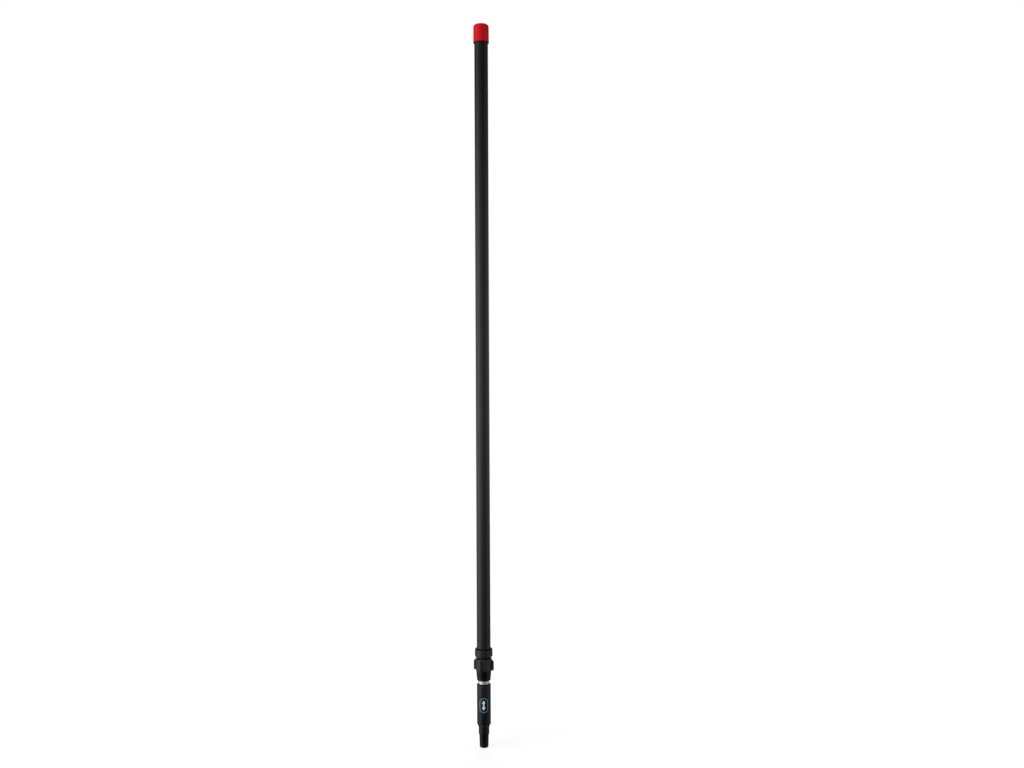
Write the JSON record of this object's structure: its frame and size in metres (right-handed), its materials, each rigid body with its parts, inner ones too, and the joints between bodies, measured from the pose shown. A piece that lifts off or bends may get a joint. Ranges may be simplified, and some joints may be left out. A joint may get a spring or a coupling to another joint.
{
  "type": "roller extension pole",
  "caption": "Telescopic pole of nested round tubes with a ribbed twist clamp, a rounded end cap and a tapered push-on cone for a paint roller or brush.",
  "frame": {"origin": "centre of the tool cone's flat end face, on the pole's axis", "axes": "+Z along the pole from the tool cone to the red end cap; -Y is the front, the side of the sleeve that carries the printed mark; +X is to the right seen from the front"},
  "size_m": [0.0474, 0.0474, 1.6816],
  "materials": {
    "black_tube": "satin",
    "bare_tube": "satin",
    "black_plastic": "satin",
    "red_plastic": "satin",
    "pale_plastic": "satin",
    "dark_rubber": "matte",
    "rivet": "satin",
    "pin_steel": "satin"
  },
  "bodies": {
    "inner_stage": {"inner_tube": "bare_tube", "tool_sleeve": "black_plastic", "tool_cone": "black_plastic", "sleeve_rivet_upper": "rivet", "sleeve_rivet_lower": "rivet", "guide_bush_upper": "pale_plastic", "guide_bush_lower": "pale_plastic", "bush_pin_upper": "pin_steel", "bush_pin_lower": "pin_steel", "inner_tube_plug": "black_plastic"},
    "gripper": {"collet": "pale_plastic"},
    "outer_stage": {"outer_tube": "black_tube", "end_cap": "red_plastic", "clamp_body": "black_plastic", "cover_ring": "black_plastic", "body_pin_left": "pin_steel", "body_pin_right": "pin_steel"},
    "wedge": {"wedge_ring": "black_plastic"},
    "nut": {"clamp_nut": "black_plastic", "wiper_seal": "dark_rubber"}
  },
  "joints": [
    {"name": "telescope", "type": "slide", "parent": "inner_stage", "child": "gripper", "axis": [0, 0, 1], "range_m": [-0.004, 1.2]},
    {"name": "pole_twist", "type": "hinge", "parent": "gripper", "child": "outer_stage", "pos_m": [0, 0, 0.18], "axis": [0, 0, 1], "continuous": true},
    {"name": "nut_travel", "type": "slide", "parent": "outer_stage", "child": "wedge", "axis": [0, 0, -1], "range_m": [0, 0.00301]},
    {"name": "nut_turn", "type": "hinge", "parent": "wedge", "child": "nut", "pos_m": [0, 0, 0.18], "axis": [0, 0, -1], "range_deg": [0, 270]}
  ],
  "couplings": [
    {"joint": "nut_travel", "follows": "nut_turn", "m_per_rad": 0.00063662}
  ]
}
